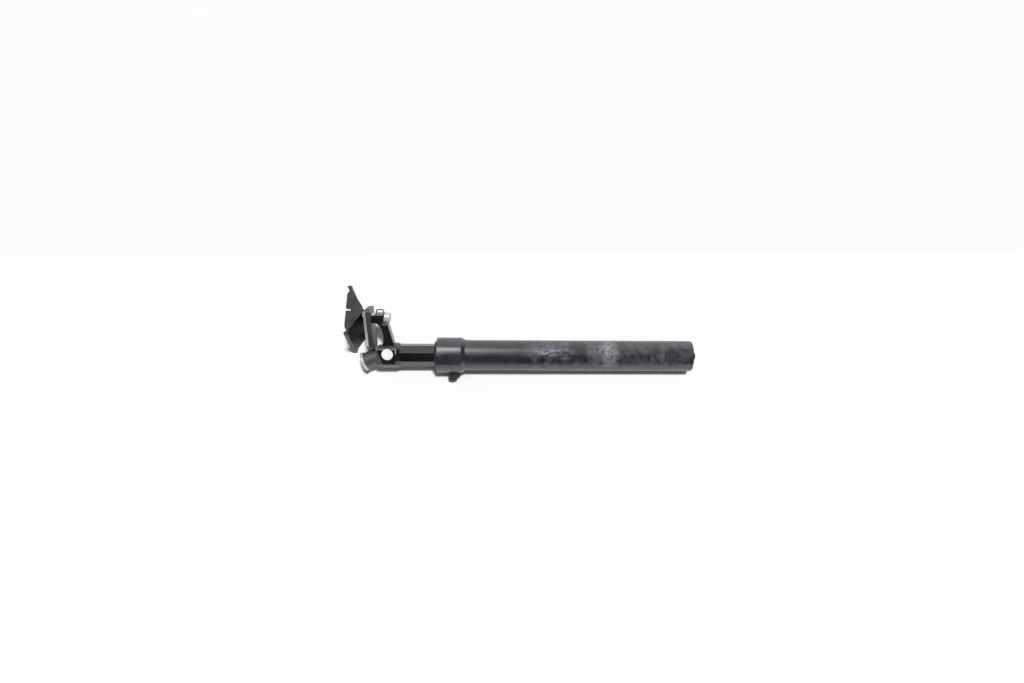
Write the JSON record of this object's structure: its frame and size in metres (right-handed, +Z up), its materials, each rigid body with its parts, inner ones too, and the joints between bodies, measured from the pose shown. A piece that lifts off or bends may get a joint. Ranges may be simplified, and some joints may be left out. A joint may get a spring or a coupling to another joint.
{
  "type": "bicycle seatpost",
  "caption": "Telescoping bicycle seatpost with an octagonal sprung shaft, a screwed collar, a forged head and a loose two-groove rail cradle, lying on a table.",
  "frame": {"origin": "on the post's axis where the collar's lower end meets the tube's shoulder, the deepest that the post goes into a seat tube", "axes": "+X along the post towards the tube's lower end, within a degree of level, +Y the side that the bike's rear lies to, +Z up from the table that the post rests on"},
  "size_m": [0.362, 0.0881, 0.0578],
  "materials": {
    "satin_black": "satin black anodising, scuffed grey",
    "gloss_black": "glossy black anodising",
    "cradle_grey": "satin dark grey anodising on an extruded face",
    "silver_alloy": "bare drawn alloy",
    "bare_alloy": "turned alloy",
    "steel": "plated steel",
    "polished_rod": "hard chromed and polished",
    "dark_wire": "blackened spring wire",
    "brass": "turned brass",
    "rubber": "black rubber",
    "black_plastic": "moulded black plastic",
    "bearing_plastic": "filled bearing plastic"
  },
  "bodies": {
    "tube": {"outer_tube": "satin_black", "collar": "satin_black", "wiper_seal": "rubber", "upper_bush": "bearing_plastic", "port_nipple": "brass", "port_cap": "black_plastic", "foot_plug": "bare_alloy", "cartridge_rod": "polished_rod", "piston": "bare_alloy", "piston_seal": "rubber", "rebound_bumper": "rubber", "bottom_bumper": "rubber", "rod_nut": "steel", "fill_valve": "brass", "valve_cap": "black_plastic"},
    "shaft": {"shaft": "gloss_black", "lower_guide": "bearing_plastic", "gas_cylinder": "bare_alloy", "cylinder_gland": "bare_alloy", "gland_seal": "rubber", "head": "gloss_black", "barrel_nut": "silver_alloy", "front_washer": "steel", "rocker_block": "cradle_grey", "rear_bolt": "steel", "bolt_washer": "steel", "bolt_nut": "steel", "wire_clip": "dark_wire"},
    "cradle": {"rail_cradle": "cradle_grey"}
  },
  "joints": [
    {"name": "suspension_slide", "type": "slide", "parent": "tube", "child": "shaft", "axis": [-0.9999, 0, 0.0133], "range_m": [-0.033, 0], "stiffness_N_per_m": 15000, "springref_m": 0.005},
    {"name": "cradle_swing", "type": "hinge", "parent": "shaft", "child": "cradle", "pos_m": [-0.11891, 0.03666, 0.02764], "axis": [-0.9999, 0, 0.0133], "range_deg": [-282, 32]}
  ]
}
